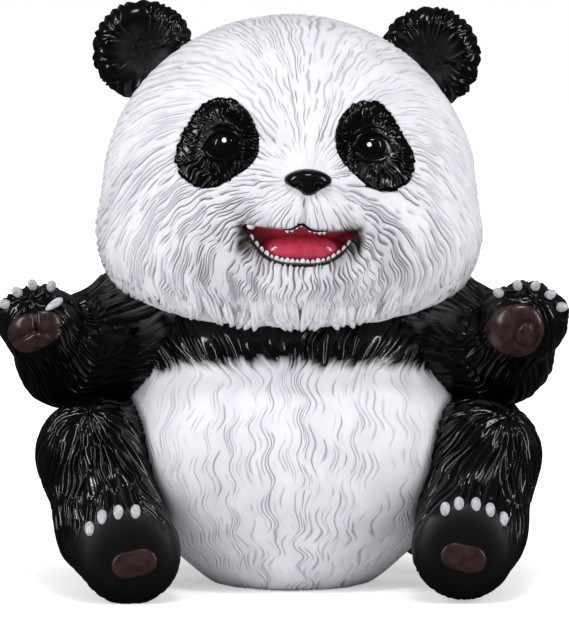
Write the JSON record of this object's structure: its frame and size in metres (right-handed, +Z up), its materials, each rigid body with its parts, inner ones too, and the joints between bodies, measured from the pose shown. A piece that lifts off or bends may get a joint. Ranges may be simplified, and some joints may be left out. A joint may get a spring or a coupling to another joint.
{
  "type": "panda figurine",
  "caption": "Seated panda figurine cast in one piece, with a large smiling head, raised front paws, forward facing soles and carved fur all over.",
  "frame": {"origin": "on the surface it stands on, under the middle of the figurine's box", "axes": "+Z up through the head, -Y out of the belly and the soles, +X to the right of someone facing the figurine"},
  "size_m": [0.1941, 0.1257, 0.1998],
  "materials": {
    "white_paint": "satin off-white paint on cast resin",
    "black_paint": "glossy black paint on cast resin",
    "brown_pads": "satin dark brown paint",
    "mouth_paint": "glossy pink-red paint",
    "claw_paint": "satin light grey paint"
  },
  "bodies": {
    "root": {"panda_figurine": "white_paint"}
  },
  "joints": []
}
